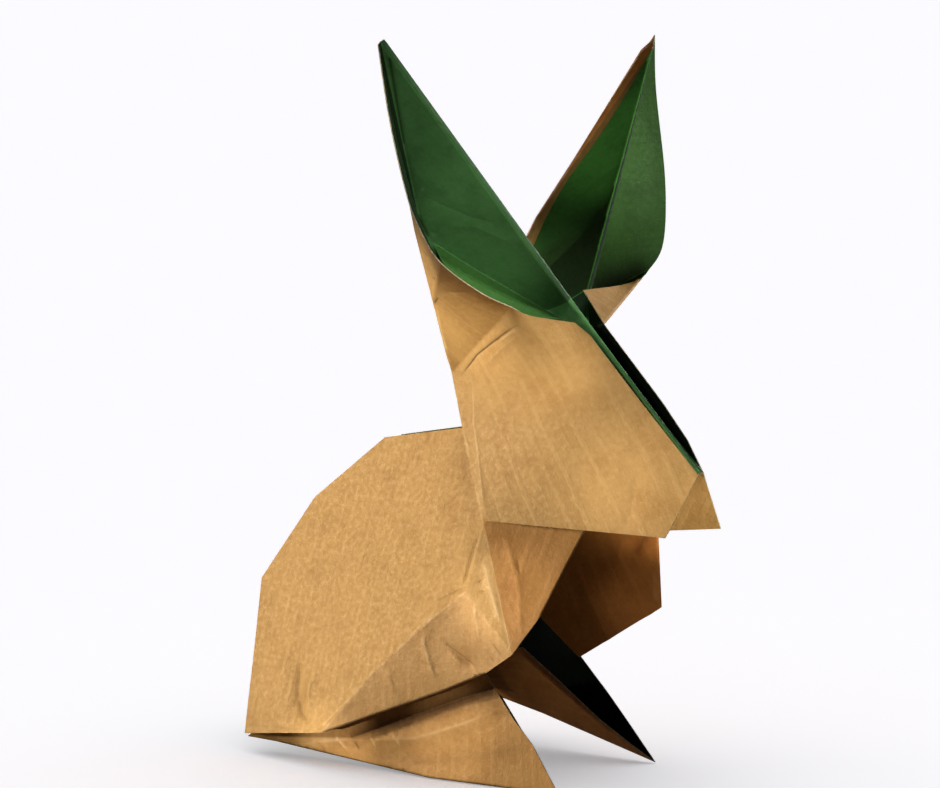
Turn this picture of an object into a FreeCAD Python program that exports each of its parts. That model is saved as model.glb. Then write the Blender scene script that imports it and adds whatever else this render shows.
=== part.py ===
import FreeCAD, Part
import os

# An origami rabbit: one sheet of two-colour paper, folded and never cut.
# Brown ribbed kraft is the outer side, green is the inner side.
# The rabbit faces +X, its left side is +Y and +Z is up. All sizes are in millimetres.
# Every fold corner is measured forward of the neck, out from the middle plane, and up
# from the ground. The two halves are mirror images except where the folder's hand shows.

FORWARD = "forward"
OUT = "out"
UP = "up"
AXES = (FORWARD, OUT, UP)
RIGHT = "right"
LEFT = "left"

SIZES = {
    "paper_thickness": 0.25,
    "origin_forward": 2.8,
    "curve_steps": 7,
    "mitre_limit": 1.8,
}

# Corners of the right half, as (forward, out, up).
CORNERS = {
    # Ear and crown. Each fold line here has two edges, as wide apart as the fold is thick.
    "ear_tip_outer": (8.8, 33.5, 101.9),
    "ear_tip_inner": (8.9, 33.1, 102.3),
    "ear_tip_lining": (9.1, 32.6, 102.6),
    "ear_back_outer": (1.5, 15.2, 76.0),
    "ear_back_inner": (1.8, 14.2, 76.3),
    "neck_outer": (-1.8, 1.8, 55.2),
    "neck_inner": (-2.3, 0.9, 55.6),
    "brow_inner": (18.4, 2.9, 66.4),
    "brow_lining": (18.3, 2.2, 66.9),
    "bridge_inner": (23.1, 1.4, 60.6),
    "bridge_lining": (22.9, 0.8, 60.8),
    "nose_inner": (38.4, 1.0, 44.0),
    "nose_lining": (38.3, 0.5, 44.1),
    # Bend of the ear's face above the ear base, and the ledge below it inside the pocket.
    "shelf_back": (2.6, 12.5, 74.4),
    "shelf_middle": (7.5, 8.3, 70.3),
    "shelf_fork": (14.8, 2.8, 65.0),
    "shelf_front": (17.6, 2.7, 63.9),
    "shelf_side": (8.2, 15.5, 70.0),
    "shelf_low": (12.6, 9.3, 65.1),
    # Lip of the ear pocket, a curved cut edge from the ear's tip to the brow.
    "lip_high": (10.3, 33.0, 92.1),
    "lip_widest": (12.2, 32.2, 83.0),
    "lip_turn": (13.1, 30.6, 78.3),
    "lip_corner": (13.9, 26.7, 73.2),
    "lip_side": (13.9, 17.5, 68.5),
    "lip_low": (15.9, 8.5, 64.8),
    "lip_end": (20.3, 4.0, 63.7),
    "cheek_top": (22.4, 3.5, 62.1),
    # Cut edge of the lining that is folded back inside the ear.
    "lining_high": (9.8, 26.0, 94.4),
    "lining_middle": (7.8, 21.6, 88.4),
    "lining_low": (4.1, 15.5, 79.6),
    "lining_notch": (3.9, 12.5, 75.7),
    "lining_foot": (3.3, 10.6, 72.7),
    "lining_end": (3.6, 0.5, 58.6),
    # Head, and the layer inside it.
    "muzzle_bridge": (30.4, 2.2, 52.8),
    "muzzle_front": (34.5, 1.8, 48.3),
    "muzzle_nose": (38.6, 1.5, 43.9),
    "chin": (37.3, 6.0, 37.3),
    "jaw": (36.8, 6.9, 35.8),
    "chin_inner": (36.6, 5.9, 36.6),
    "jaw_inner": (29.0, 7.0, 36.8),
    "throat_front": (22.0, 1.6, 42.0),
    "throat_back": (1.9, 2.8, 47.3),
    "lining_throat": (20.0, 0.8, 52.0),
    # Shoulder ridge, back and haunch.
    "shoulder_top": (1.7, 4.2, 47.9),
    "shoulder_low": (9.5, 10.3, 36.2),
    "knee": (19.2, 17.5, 19.6),
    "back_top": (-13.4, 2.0, 45.2),
    "back_middle": (-25.6, 2.6, 35.6),
    "rump": (-33.0, 5.7, 23.5),
    "tail": (-29.1, 14.8, 2.5),
    "haunch_foot": (-13.4, 17.3, 4.9),
    "thigh_low": (-5.5, 16.0, 14.1),
    "thigh_middle": (4.0, 15.3, 22.6),
    "thigh_high": (9.8, 15.0, 27.0),
    "thigh_under_back": (5.8, 15.5, 12.7),
    "thigh_under_front": (14.6, 16.8, 16.6),
    # Chest flap in front of the shoulder ridge, and the lining folded back behind it.
    "chest_top": (24.8, 6.1, 38.0),
    "chest_low": (22.0, 15.0, 24.7),
    "chest_lining_low": (11.8, 10.0, 17.6),
    "chest_lining_back": (6.4, 8.2, 19.8),
    "chest_lining_top": (14.0, 6.8, 35.5),
    # Foot, an open trough folded along its bottom edge. Its back corner reaches the tail.
    "foot_top_back": (-22.0, 12.5, 8.0),
    "foot_top_front": (5.5, 11.0, 20.0),
    "foot_corner": (-29.4, 13.8, 1.9),
    "foot_edge_high": (10.7, 11.2, 14.9),
    "foot_edge_middle": (16.1, 12.3, 9.4),
    "foot_edge_low": (19.1, 12.3, 6.3),
    "toe": (23.4, 12.4, 0.0),
    "sole_middle": (3.0, 14.0, 0.0),
    "heel": (-25.3, 12.0, 1.3),
    "inner_edge_low": (19.2, 10.4, 2.7),
    "inner_edge_middle": (15.4, 9.0, 6.9),
    "inner_edge_high": (10.9, 7.8, 11.3),
    "inner_edge_top": (4.2, 7.0, 15.3),
    "inner_back": (-10.0, 8.5, 10.0),
}

# Corners where the left half was folded differently.
LEFT_CORNERS = {
    # Ear and crown.
    "ear_tip_outer": (9.3, 33.5, 102.1),
    "ear_tip_inner": (10.4, 31.4, 100.3),
    "ear_tip_lining": (10.6, 30.9, 100.2),
    "brow_inner": (15.3, 7.6, 67.0),
    "brow_lining": (15.2, 7.0, 67.2),
    "bridge_inner": (18.3, 2.4, 62.2),
    "bridge_lining": (18.2, 1.8, 62.4),
    "nose_inner": (37.8, 1.25, 43.8),
    "nose_lining": (37.7, 0.75, 43.8),
    # Ledge inside the ear pocket.
    "shelf_back": (2.3, 13.2, 74.8),
    "shelf_middle": (7.5, 9.9, 70.0),
    "shelf_fork": (12.5, 6.2, 65.2),
    "shelf_front": (10.0, 4.0, 62.2),
    "shelf_side": (2.4, 8.6, 67.7),
    "shelf_low": (4.9, 6.6, 64.8),
    # Lip of the ear pocket.
    "lip_high": (9.9, 33.0, 94.1),
    "lip_widest": (12.0, 32.3, 81.1),
    "lip_turn": (14.1, 28.5, 72.3),
    "lip_corner": (14.4, 24.0, 68.6),
    "lip_side": (14.7, 20.0, 67.4),
    "lip_low": (16.0, 11.5, 67.3),
    "lip_end": (16.4, 4.0, 67.4),
    "cheek_top": (20.2, 3.5, 62.9),
    # Lining of the ear.
    "lining_high": (9.4, 26.5, 94.3),
    "lining_middle": (7.6, 22.1, 88.2),
    "lining_low": (5.1, 17.7, 82.1),
    "lining_notch": (3.9, 14.0, 77.0),
    "lining_foot": (3.6, 10.8, 72.7),
    "lining_end": (3.6, 0.1, 58.6),
    # Head.
    "muzzle_bridge": (30.7, 2.4, 52.5),
    "muzzle_front": (34.6, 2.2, 48.0),
    "muzzle_nose": (37.5, 1.6, 43.8),
    "chin": (37.1, 4.3, 39.7),
    "jaw": (36.8, 6.9, 35.6),
    "chin_inner": (37.5, 6.4, 35.5),
    "jaw_inner": (28.4, 7.4, 34.3),
    # Shoulder and haunch.
    "shoulder_low": (11.8, 11.8, 32.6),
    "knee": (19.4, 17.3, 20.1),
    "tail": (-28.0, 16.0, 0.0),
    "haunch_foot": (-13.4, 17.3, 3.5),
    "thigh_under_back": (5.0, 15.5, 13.0),
    "thigh_under_front": (12.5, 16.5, 15.9),
    # Chest flap.
    "chest_top": (26.6, 7.4, 36.0),
    "chest_low": (22.6, 15.0, 21.8),
    "chest_lining_low": (12.0, 10.0, 14.2),
    "chest_lining_top": (13.3, 7.0, 33.6),
    # Foot.
    "foot_top_back": (-15.0, 10.8, 15.5),
    "foot_corner": (-18.0, 12.0, 12.0),
    "foot_edge_middle": (15.1, 12.3, 9.4),
    "foot_edge_low": (17.8, 12.3, 6.4),
    "sole_middle": (3.1, 14.0, 4.4),
    "heel": (-17.0, 12.3, 9.2),
    "inner_edge_low": (20.6, 10.3, 2.6),
    "inner_edge_middle": (16.4, 8.7, 5.9),
    "inner_edge_high": (10.0, 7.5, 11.1),
}

# Curved and bent edges, as runs of corners.
BACK_OUTER = ("ear_tip_outer", "ear_back_outer", "neck_outer")
BACK_INNER = ("ear_tip_inner", "ear_back_inner", "neck_inner")
LIP = ("ear_tip_outer", "lip_high", "lip_widest", "lip_turn", "lip_corner")
CHEEK_LIP = ("lip_corner", "lip_side", "lip_low", "lip_end")
SHELF_BEND = ("shelf_back", "shelf_middle", "shelf_fork", "shelf_front")
SHELF_EDGE = ("shelf_back", "shelf_side", "shelf_low", "shelf_front")
LINING_EDGE = ("ear_tip_lining", "lining_high", "lining_middle", "lining_low", "lining_notch",
               "lining_foot")

# Flat panels of each half, each one a fan of triangles about its first corner.
PANELS = (
    # Head panel below the ear crease.
    ("shoulder_low", "jaw", "chin", "muzzle_nose", "muzzle_front", "muzzle_bridge", "cheek_top",
     "neck_outer", "shoulder_top"),
    # Fold between the neck ridge and the layer inside the head.
    ("neck_outer", "neck_inner", "throat_back", "shoulder_top"),
    # Layer inside the head, and its part inside the muzzle.
    ("bridge_inner", "brow_inner", "shelf_fork", "shelf_front", "neck_inner", "throat_back",
     "throat_front", "nose_inner"),
    ("throat_front", "jaw_inner", "chin_inner", "nose_inner"),
    # Narrow fold along the brow and the nose, and the lining folded back from it.
    ("brow_inner", "brow_lining", "bridge_lining", "bridge_inner"),
    ("bridge_inner", "bridge_lining", "nose_lining", "nose_inner"),
    ("bridge_lining", "brow_lining", "lining_end", "lining_throat", "nose_lining"),
    # Narrow fold along the front of the ear.
    ("ear_tip_inner", "ear_tip_lining", "brow_lining", "brow_inner"),
    # Haunch.
    ("rump", "tail", "haunch_foot", "thigh_low", "thigh_middle", "thigh_high", "shoulder_low",
     "shoulder_top", "back_top", "back_middle"),
    # Underside of the thigh, between the thigh crease and the lower edge.
    ("haunch_foot", "thigh_low", "thigh_under_back"),
    ("thigh_middle", "thigh_under_front", "thigh_under_back", "thigh_low"),
    ("thigh_high", "knee", "thigh_under_front", "thigh_middle"),
    ("thigh_high", "shoulder_low", "knee"),
    # Chest flap and its lining.
    ("shoulder_low", "knee", "chest_low", "chest_top"),
    ("chest_top", "chest_low", "chest_lining_low", "chest_lining_back", "chest_lining_top"),
    # Pleat that carries the foot from the thigh's lower edge.
    ("thigh_under_back", "haunch_foot", "foot_top_back", "foot_top_front", "thigh_under_front"),
    # Outer and inner wall of the foot.
    ("sole_middle", "toe", "foot_edge_low", "foot_edge_middle", "foot_edge_high",
     "foot_top_front", "foot_top_back", "foot_corner", "heel"),
    ("sole_middle", "toe", "inner_edge_low", "inner_edge_middle", "inner_edge_high",
     "inner_edge_top", "inner_back", "heel"),
)


def write_dimensions(document):
    """Put every driving size in the spreadsheet, under a plain-word alias."""
    sheet = document.addObject("Spreadsheet::Sheet", "dimensions")
    rows = list(SIZES.items())
    for half, corners in ((RIGHT, CORNERS), (LEFT, LEFT_CORNERS)):
        for name, place in corners.items():
            for axis, value in zip(AXES, place):
                rows.append((half + "_" + name + "_" + axis, value))
    for index, (alias, value) in enumerate(rows, start=1):
        sheet.set("A" + str(index), alias)
        sheet.set("B" + str(index), str(value))
        sheet.setAlias("B" + str(index), alias)
    document.recompute()
    return sheet


def corner_places(sheet, half):
    """Read the corners of one half from the spreadsheet as points in space."""
    side = 1 if half == LEFT else -1
    places = {}
    for name in CORNERS:
        source = half if half == RIGHT or name in LEFT_CORNERS else RIGHT
        forward, out, up = (float(sheet.get(source + "_" + name + "_" + axis)) for axis in AXES)
        places[name] = FreeCAD.Vector(forward, side * out, up)
    return places


def even_points(places, names, steps):
    """Points along the straight runs between the named corners, steps to each run."""
    points = [places[names[0]]]
    for start, end in zip(names, names[1:]):
        stride = (places[end] - places[start]) / steps
        points += [places[start] + stride * (step + 1) for step in range(steps)]
    return points


def curve_points(places, names, steps):
    """Points evenly spaced along a smooth curve through the named corners."""
    curve = Part.BSplineCurve()
    curve.interpolate([places[name] for name in names])
    return curve.discretize(steps + 1)


def strip(first_edge, second_edge):
    """Triangles that join two edges with the same number of points."""
    triangles = []
    for step in range(len(first_edge) - 1):
        here, there = first_edge[step], second_edge[step]
        here_next, there_next = first_edge[step + 1], second_edge[step + 1]
        triangles.append((here, here_next, there))
        triangles.append((here_next, there_next, there))
    return triangles


def fan(centre, points):
    """Triangles from one corner to each stretch of an edge."""
    return [(centre, points[step], points[step + 1]) for step in range(len(points) - 1)]


def ear_triangles(places, half, steps):
    """The ear: an outer wall with a curved lip, a face bent at its base, and a lining."""
    shelf_bend = [places[name] for name in SHELF_BEND]
    shelf_edge = [places[name] for name in SHELF_EDGE]
    back_outer = even_points(places, BACK_OUTER, steps)
    back_inner = even_points(places, BACK_INNER, steps)
    lip = curve_points(places, LIP, 2 * steps)
    cheek_lip = curve_points(places, CHEEK_LIP, steps)
    lining_edge = curve_points(places, LINING_EDGE, 2 * steps)

    triangles = strip(back_outer, lip)
    if half == RIGHT:
        triangles += fan(places["neck_outer"], cheek_lip + [places["cheek_top"]])
    else:
        triangles += fan(places["cheek_top"], [places["neck_outer"]] + cheek_lip)
    triangles += strip(back_outer, back_inner)
    triangles += fan(places["brow_inner"], back_inner[:steps + 1] + shelf_bend[:3])
    triangles += strip(shelf_bend, shelf_edge)
    triangles += fan(places["shelf_side"],
                     [places["shelf_back"]] + back_inner[steps:] + [places["shelf_low"]])
    triangles.append((places["shelf_low"], places["neck_inner"], places["shelf_front"]))
    triangles += fan(places["brow_lining"], lining_edge + [places["lining_end"]])
    return triangles


def half_triangles(places, half, steps):
    """All triangles of one half of the folded sheet."""
    triangles = ear_triangles(places, half, steps)
    for names in PANELS:
        points = [places[name] for name in names]
        triangles += fan(points[0], points[1:])
    return triangles


def throat_triangles(right, left):
    """The narrow fold along the throat that joins the two halves."""
    return fan(right["throat_back"],
               [right["throat_front"], left["throat_front"], left["throat_back"]])


def number_points(triangles):
    """Give each separate point a number, and each triangle its three numbers."""
    numbers = {}
    points = []
    facets = []
    for triangle in triangles:
        facet = []
        for point in triangle:
            key = (round(point.x, 4), round(point.y, 4), round(point.z, 4))
            if key not in numbers:
                numbers[key] = len(points)
                points.append(point)
            facet.append(numbers[key])
        if len(set(facet)) == 3:
            facets.append(tuple(facet))
    return points, facets


def edges_of(facet):
    """The three directed edges of a facet."""
    return [(facet[0], facet[1]), (facet[1], facet[2]), (facet[2], facet[0])]


def face_one_way(facets):
    """Turn the facets so that the brown side of the sheet is always the front."""
    neighbours = {}
    for index, facet in enumerate(facets):
        for start, end in edges_of(facet):
            neighbours.setdefault(frozenset((start, end)), []).append(index)
    turned = {0: facets[0]}
    waiting = [0]
    while waiting:
        facet = turned[waiting.pop()]
        for start, end in edges_of(facet):
            for index in neighbours[frozenset((start, end))]:
                if index in turned:
                    continue
                other = facets[index]
                if (start, end) in edges_of(other):
                    other = other[::-1]
                turned[index] = other
                waiting.append(index)
    if len(turned) != len(facets):
        raise ValueError("the sheet is in more than one piece")
    return list(turned.values())


def facet_normal(points, facet):
    """Unit vector square to a facet, on its front."""
    first, second, third = (points[number] for number in facet)
    normal = (second - first).cross(third - first)
    normal.normalize()
    return normal


def corner_angle(points, facet, number):
    """Angle of a facet at one of its corners."""
    place = facet.index(number)
    ahead = points[facet[(place + 1) % 3]] - points[number]
    behind = points[facet[(place + 2) % 3]] - points[number]
    return ahead.getAngle(behind)


def half_thickness_steps(points, facets, thickness, limit):
    """Step from each point of the middle surface to the front of the paper."""
    around = [[] for point in points]
    for facet in facets:
        normal = facet_normal(points, facet)
        for number in facet:
            around[number].append((normal, corner_angle(points, facet, number)))
    steps = []
    for normals in around:
        mean = FreeCAD.Vector()
        for normal, angle in normals:
            mean += normal * angle
        mean.normalize()
        nearest = min(mean.dot(normal) for normal, angle in normals)
        stretch = limit if nearest < 1 / limit else 1 / nearest
        steps.append(mean * (stretch * thickness / 2))
    return steps


def paper_solid(points, facets, thickness, limit):
    """Give the folded middle surface its thickness and close it round its edges."""
    steps = half_thickness_steps(points, facets, thickness, limit)
    front = [point + step for point, step in zip(points, steps)]
    back = [point - step for point, step in zip(points, steps)]
    outlines = []
    directed = {edge for facet in facets for edge in edges_of(facet)}
    for facet in facets:
        outlines.append([front[number] for number in facet])
        outlines.append([back[number] for number in reversed(facet)])
        for start, end in edges_of(facet):
            if (end, start) not in directed:
                outlines.append([front[end], front[start], back[start]])
                outlines.append([front[end], back[start], back[end]])
    faces = [Part.Face(Part.makePolygon(outline + outline[:1])) for outline in outlines]
    shell = Part.Shell(faces)
    shell.sewShape()
    return Part.Solid(shell)


def build():
    """Build the folded sheet as one solid."""
    document = FreeCAD.newDocument("origami_rabbit")
    sheet = write_dimensions(document)
    steps = int(sheet.curve_steps)
    right = corner_places(sheet, RIGHT)
    left = corner_places(sheet, LEFT)
    triangles = half_triangles(right, RIGHT, steps)
    triangles += half_triangles(left, LEFT, steps)
    triangles += throat_triangles(right, left)
    points, facets = number_points(triangles)
    facets = face_one_way(facets)

    rabbit = document.addObject("Part::Feature", "folded_sheet")
    rabbit.Label = "folded_sheet"
    rabbit.Shape = paper_solid(points, facets, float(sheet.paper_thickness),
                               float(sheet.mitre_limit))
    ground = rabbit.Shape.BoundBox.ZMin
    rabbit.Placement = FreeCAD.Placement(
        FreeCAD.Vector(-float(sheet.origin_forward), 0, -ground), FreeCAD.Rotation())
    document.recompute()
    return document, rabbit


def check(document, rabbit):
    """Stop before writing if any object is in error or the solid is not sound."""
    for item in document.Objects:
        if "Invalid" in item.State or "Error" in item.State:
            raise ValueError(item.Name + " is in error")
    if rabbit.Shape.isNull() or not rabbit.Shape.isValid():
        raise ValueError("the folded sheet is not a valid shape")
    if len(rabbit.Shape.Solids) != 1 or rabbit.Shape.Volume <= 0:
        raise ValueError("the folded sheet is not one solid")


document, rabbit = build()
check(document, rabbit)
os.makedirs("parts", exist_ok=True)
rabbit.Shape.exportStep("parts/folded_sheet.step")
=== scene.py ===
import math

import bpy
import numpy as np
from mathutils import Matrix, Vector, geometry, noise


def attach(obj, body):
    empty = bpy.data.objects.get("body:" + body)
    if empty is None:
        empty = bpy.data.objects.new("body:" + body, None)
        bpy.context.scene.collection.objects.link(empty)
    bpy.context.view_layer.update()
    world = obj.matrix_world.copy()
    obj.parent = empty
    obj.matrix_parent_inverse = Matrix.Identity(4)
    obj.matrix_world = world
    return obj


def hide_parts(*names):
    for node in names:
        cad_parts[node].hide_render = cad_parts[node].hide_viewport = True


# An origami rabbit folded from one sheet of two-colour kraft paper: brown and ribbed on the
# outer side, green on the inner side. Fold corners are in millimetres, measured forward of
# the neck, out from the middle plane, and up from the ground.

# From the corners' origin to the frame's, and the paper's thickness.
FORWARD_SHIFT = 2.8
GROUND_SHIFT = 0.215
PAPER = 0.15

# Facets: how far apart their corners are on open paper, and in the ring beside each fold.
SPACING = 0.85
ROW_SHARE = 0.866
GRID_FROM_RING = 0.45
FOLD_RING = 0.3
RING_FROM_EDGE = 0.8
FOLD_SHARES = (0, 0.3, 0.7, 1)
FOLD_TAPER = 3

# Facets along a crease, and how far other corners stay from them.
CREASE_SPACING = 0.4
CREASE_ROWS = (0.3, 0.7)
CREASE_CLEAR = 0.25
GRID_FROM_CREASE = 0.35
RING_FROM_CREASE = 0.2

# How steeply a crease and its mark fade to the sides and towards the ends.
RISE_FADE = 1.6
MARK_FADE = 2.2
LEAST_MARK_WIDTH = 0.3
END_SHARE = 0.2
END_LENGTH = 0.1

# Waviness as (length, height). It dies out beside folds, as creases do, and calms at cut edges.
BROAD_WAVE = (13, 0.3)
FINE_WAVE = (3.1, 0.045)
WAVE_TO_FOLD = 1.5
CREASE_TO_FOLD = 0.6
WAVE_AT_CUT = 0.3
CUT_CALM = 4
SEEDS = 97
SEED_STEP = 1.7

FAR = 1000.0
GAP_CAP = 5.0
TINY = 1e-12
MERGE = 1e-6
INSIDE_ONLY = 1
RIGHT, LEFT = "right", "left"
BROWN_SIDE, GREEN_SIDE, CUT_EDGE = 0, 1, 2

# Corners of the right half, as (forward, out, up).
CORNERS = dict(
    # Ear and crown. Each fold line here has two edges, as wide apart as the fold is thick.
    ear_tip_outer=(8.8, 33.5, 101.9), ear_tip_inner=(8.9, 33.1, 102.3),
    ear_tip_lining=(9.1, 32.6, 102.6), ear_back_outer=(1.5, 15.2, 76),
    ear_back_inner=(1.8, 14.2, 76.3), ear_crease=(-0.1, 8.8, 66),
    ear_crease_inner=(-0.2, 7.8, 66.4), neck_outer=(-1.8, 1.8, 55.2),
    neck_inner=(-2.3, 0.9, 55.6), brow_inner=(18.4, 2.9, 66.4),
    brow_lining=(18.3, 2.2, 66.9), bridge_inner=(23.1, 1.4, 60.6),
    bridge_lining=(22.9, 0.8, 60.8), nose_inner=(38.4, 1, 44),
    nose_lining=(38.3, 0.5, 44.1),
    # Bend of the ear's face above the ear base, and the ledge below it inside the pocket.
    shelf_back=(2.6, 12.5, 74.4), shelf_middle=(7.5, 8.3, 70.3),
    shelf_fork=(14.8, 2.8, 65), shelf_front=(17.6, 2.7, 63.9),
    shelf_side=(8.2, 15.5, 70), shelf_low=(12.6, 9.3, 65.1),
    # Lip of the ear pocket, a curved cut edge from the ear's tip to the brow.
    lip_high=(10.3, 33, 92.1), lip_widest=(12.2, 32.2, 83),
    lip_turn=(13.1, 30.6, 78.3), lip_corner=(13.9, 26.7, 73.2),
    lip_side=(13.9, 17.5, 68.5), lip_low=(15.9, 8.5, 64.8),
    crease_lip=(15, 11.5, 66.1), lip_end=(20.3, 4, 63.7),
    cheek_top=(22.4, 3.5, 62.1),
    # Cut edge of the lining that is folded back inside the ear.
    lining_high=(9.8, 26, 94.4), lining_middle=(7.8, 21.6, 88.4),
    lining_low=(4.1, 15.5, 79.6), lining_notch=(3.9, 12.5, 75.7),
    lining_foot=(3.3, 10.6, 72.7), lining_end=(3.6, 0.5, 58.6),
    # Head, and the layer inside it.
    muzzle_bridge=(30.4, 2.2, 52.8), muzzle_front=(34.5, 1.8, 48.3),
    muzzle_nose=(38.6, 1.5, 43.9), chin=(37.3, 6, 37.3),
    jaw=(36.8, 6.9, 35.8), chin_inner=(36.6, 5.9, 36.6),
    jaw_inner=(29, 7, 36.8), throat_front=(22, 1.6, 42),
    throat_back=(1.9, 2.8, 47.3), lining_throat=(20, 0.8, 52),
    # Shoulder ridge, back and haunch.
    shoulder_top=(1.7, 4.2, 47.9), shoulder_low=(9.5, 10.3, 36.2),
    knee=(19.2, 17.5, 19.6), back_top=(-13.4, 2, 45.2),
    back_middle=(-25.6, 2.6, 35.6), rump=(-33, 5.7, 23.5),
    tail=(-29.1, 14.8, 2.5), haunch_foot=(-13.4, 17.3, 4.9),
    thigh_low=(-5.5, 16, 14.1), thigh_middle=(4, 15.3, 22.6),
    thigh_high=(9.8, 15, 27), thigh_under_back=(5.8, 15.5, 12.7),
    thigh_under_front=(14.6, 16.8, 16.6),
    # Chest flap in front of the shoulder ridge, and the lining folded back behind it.
    chest_top=(24.8, 6.1, 38), chest_low=(22, 15, 24.7),
    chest_lining_low=(11.8, 10, 17.6), chest_lining_back=(6.4, 8.2, 19.8),
    chest_lining_top=(14, 6.8, 35.5),
    # Foot, an open trough folded along its bottom edge. Its back corner reaches the tail.
    foot_top_back=(-22, 12.5, 8), foot_top_front=(5.5, 11, 20),
    foot_corner=(-29.4, 13.8, 1.9), foot_edge_high=(10.7, 11.2, 14.9),
    foot_edge_middle=(16.1, 12.3, 9.4), foot_edge_low=(19.1, 12.3, 6.3),
    toe=(23.4, 12.4, 0), sole_middle=(3, 14, 0),
    heel=(-25.3, 12, 1.3), inner_edge_low=(19.2, 10.4, 2.7),
    inner_edge_middle=(15.4, 9, 6.9), inner_edge_high=(10.9, 7.8, 11.3),
    inner_edge_top=(4.2, 7, 15.3), inner_back=(-10, 8.5, 10),
)

# Corners where the left half was folded differently, in the same order.
LEFT_CORNERS = dict(
    ear_tip_outer=(9.3, 33.5, 102.1), ear_tip_inner=(10.4, 31.4, 100.3),
    ear_tip_lining=(10.6, 30.9, 100.2), brow_inner=(15.3, 7.6, 67),
    brow_lining=(15.2, 7, 67.2), bridge_inner=(18.3, 2.4, 62.2),
    bridge_lining=(18.2, 1.8, 62.4), nose_inner=(37.8, 1.25, 43.8),
    nose_lining=(37.7, 0.75, 43.8),
    shelf_back=(2.3, 13.2, 74.8), shelf_middle=(7.5, 9.9, 70),
    shelf_fork=(12.5, 6.2, 65.2), shelf_front=(10, 4, 62.2),
    shelf_side=(2.4, 8.6, 67.7), shelf_low=(4.9, 6.6, 64.8),
    lip_high=(9.9, 33, 94.1), lip_widest=(12, 32.3, 81.1),
    lip_turn=(14.1, 28.5, 72.3), lip_corner=(14.4, 24, 68.6),
    lip_side=(14.7, 20, 67.4), lip_low=(16, 11.5, 67.3),
    crease_lip=(15.2, 16, 67.2), lip_end=(16.4, 4, 67.4),
    cheek_top=(20.2, 3.5, 62.9),
    lining_high=(9.4, 26.5, 94.3), lining_middle=(7.6, 22.1, 88.2),
    lining_low=(5.1, 17.7, 82.1), lining_notch=(3.9, 14, 77),
    lining_foot=(3.6, 10.8, 72.7), lining_end=(3.6, 0.1, 58.6),
    muzzle_bridge=(30.7, 2.4, 52.5), muzzle_front=(34.6, 2.2, 48),
    muzzle_nose=(37.5, 1.6, 43.8), chin=(37.1, 4.3, 39.7),
    jaw=(36.8, 6.9, 35.6), chin_inner=(37.5, 6.4, 35.5),
    jaw_inner=(28.4, 7.4, 34.3),
    shoulder_low=(11.8, 11.8, 32.6), knee=(19.4, 17.3, 20.1),
    tail=(-28, 16, 0), haunch_foot=(-13.4, 17.3, 3.5),
    thigh_under_back=(5, 15.5, 13), thigh_under_front=(12.5, 16.5, 15.9),
    chest_top=(26.6, 7.4, 36), chest_low=(22.6, 15, 21.8),
    chest_lining_low=(12, 10, 14.2), chest_lining_top=(13.3, 7, 33.6),
    foot_top_back=(-15, 10.8, 15.5), foot_corner=(-18, 12, 12),
    foot_edge_middle=(15.1, 12.3, 9.4), foot_edge_low=(17.8, 12.3, 6.4),
    sole_middle=(3.1, 14, 4.4), heel=(-17, 12.3, 9.2),
    inner_edge_low=(20.6, 10.3, 2.6), inner_edge_middle=(16.4, 8.7, 5.9),
    inner_edge_high=(10, 7.5, 11.1),
)

# Smooth cut edges, as runs of corners.
CURVES = (
    "ear_tip_outer lip_high lip_widest lip_turn lip_corner lip_side crease_lip lip_low lip_end",
    "ear_tip_lining lining_high lining_middle lining_low lining_notch lining_foot",
    "shelf_back shelf_middle shelf_fork shelf_front",
    "shelf_back shelf_side shelf_low shelf_front",
)

# Long narrow folds: the two edges, and how far the fold bulges to the brown side.
NARROW_FOLDS = (
    ("ear_tip_outer ear_back_outer ear_crease neck_outer",
     "ear_tip_inner ear_back_inner ear_crease_inner neck_inner", 0.3),
    ("ear_tip_inner brow_inner", "ear_tip_lining brow_lining", 0),
    ("brow_inner bridge_inner nose_inner", "brow_lining bridge_lining nose_lining", -0.2),
)

# Panels between the folds, each one a loop of corners.
PANELS = dict(
    ear_face="ear_tip_inner ear_back_inner shelf_back shelf_middle shelf_fork brow_inner",
    shelf="shelf_back shelf_middle shelf_fork shelf_front shelf_low shelf_side",
    ear_base="shelf_back shelf_side shelf_low shelf_front neck_inner ear_crease_inner "
             "ear_back_inner",
    ear_lining="ear_tip_lining lining_high lining_middle lining_low lining_notch lining_foot "
               "lining_end brow_lining",
    neck_fold="neck_outer neck_inner throat_back shoulder_top",
    crown_inside="bridge_inner brow_inner shelf_fork shelf_front neck_inner",
    head_inside="bridge_inner neck_inner throat_back throat_front nose_inner",
    muzzle_inside="throat_front jaw_inner chin_inner nose_inner",
    head_lining="lining_throat lining_end brow_lining bridge_lining nose_lining",
    haunch="rump tail haunch_foot thigh_low thigh_middle thigh_high shoulder_low shoulder_top "
           "back_top back_middle",
    thigh="haunch_foot thigh_low thigh_middle thigh_high knee thigh_under_front thigh_under_back",
    thigh_front="thigh_high shoulder_low knee",
    chest="shoulder_low knee chest_low chest_top",
    chest_lining="chest_top chest_low chest_lining_low chest_lining_back chest_lining_top",
    pleat="thigh_under_back haunch_foot foot_top_back foot_top_front thigh_under_front",
    foot_wall="sole_middle toe foot_edge_low foot_edge_middle foot_edge_high foot_top_front "
              "foot_top_back foot_corner heel",
    foot_inside="sole_middle toe inner_edge_low inner_edge_middle inner_edge_high inner_edge_top "
                "inner_back heel",
)

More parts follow.
